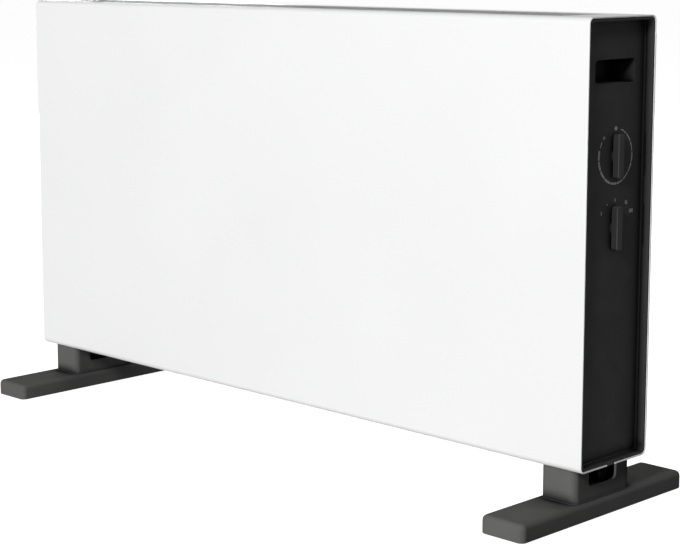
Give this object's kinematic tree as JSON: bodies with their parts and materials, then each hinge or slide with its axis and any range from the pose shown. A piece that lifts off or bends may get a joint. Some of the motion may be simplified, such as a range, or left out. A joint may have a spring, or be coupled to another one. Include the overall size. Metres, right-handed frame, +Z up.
{
  "type": "wall panel convector heater",
  "caption": "Slim white panel convector on T-shaped feet, with recessed black end caps, hand grips, two lever dials, a top grille and finned elements.",
  "frame": {"origin": "on the floor under the middle of the case, at the middle of the four rubber pads", "axes": "+X towards the end with the two controls, -Y out of the plain front panel, +Z up"},
  "size_m": [0.78, 0.2374, 0.4445],
  "materials": {
    "white_paint": "satin white powder coat",
    "black_plastic": "fine-grained black",
    "knob_plastic": "smooth dark grey",
    "grille_plastic": "satin light grey",
    "foot_plastic": "fine-grained charcoal",
    "rubber": "matte",
    "zinc_steel": "zinc plated",
    "screw_steel": "blackened",
    "aluminium": "plain pressed fins",
    "ceramic": "unglazed cream ceramic",
    "light_plastic": "plain off-white",
    "red_wire": "smooth",
    "blue_wire": "smooth",
    "green_wire": "smooth"
  },
  "bodies": {
    "heater_body": {"front_casing": "white_paint", "rear_cover": "white_paint", "outlet_grille": "grille_plastic", "right_end_cap": "black_plastic", "left_end_cap": "black_plastic", "cover_screw_1": "screw_steel", "cover_screw_2": "screw_steel", "cover_screw_3": "screw_steel", "cover_screw_4": "screw_steel", "end_cap_screw_1": "screw_steel", "end_cap_screw_2": "screw_steel", "end_cap_screw_3": "screw_steel", "end_cap_screw_4": "screw_steel", "bracket_screw_1": "screw_steel", "bracket_screw_2": "screw_steel", "thermostat_body": "light_plastic", "selector_switch_body": "black_plastic", "thermostat_nut": "zinc_steel", "selector_nut": "zinc_steel", "control_plate": "zinc_steel", "control_plate_screw_1": "screw_steel", "control_plate_screw_2": "screw_steel", "lower_heating_element": "aluminium", "upper_heating_element": "aluminium", "lower_left_bush": "ceramic", "lower_right_bush": "ceramic", "upper_left_bush": "ceramic", "upper_right_bush": "ceramic", "left_element_bracket": "zinc_steel", "right_element_bracket": "zinc_steel", "heat_shield": "zinc_steel", "thermal_cutout": "ceramic", "terminal_block": "light_plastic", "cable_gland": "black_plastic", "gland_nut": "black_plastic", "live_wire": "red_wire", "control_link_wire": "red_wire", "lower_element_wire": "red_wire", "upper_element_wire": "red_wire", "neutral_wire": "blue_wire", "return_wire": "blue_wire", "left_link_wire": "blue_wire", "earth_wire": "green_wire", "left_foot": "foot_plastic", "left_nut_strip": "zinc_steel", "left_foot_screw_1": "screw_steel", "left_foot_screw_2": "screw_steel", "left_rubber_pad_1": "rubber", "left_rubber_pad_2": "rubber", "right_foot": "foot_plastic", "right_nut_strip": "zinc_steel", "right_foot_screw_1": "screw_steel", "right_foot_screw_2": "screw_steel", "right_rubber_pad_1": "rubber", "right_rubber_pad_2": "rubber"},
    "thermostat_dial": {"thermostat_knob": "knob_plastic", "thermostat_spindle": "zinc_steel"},
    "selector_dial": {"selector_knob": "knob_plastic", "selector_spindle": "zinc_steel"}
  },
  "joints": [
    {"name": "thermostat_turn", "type": "hinge", "parent": "heater_body", "child": "thermostat_dial", "pos_m": [0.3809, 0.0048, 0.3227], "axis": [-1, 0, 0], "range_deg": [0, 300]},
    {"name": "selector_turn", "type": "hinge", "parent": "heater_body", "child": "selector_dial", "pos_m": [0.3809, 0.0048, 0.2595], "axis": [-1, 0, 0], "range_deg": [-60, 60]}
  ]
}
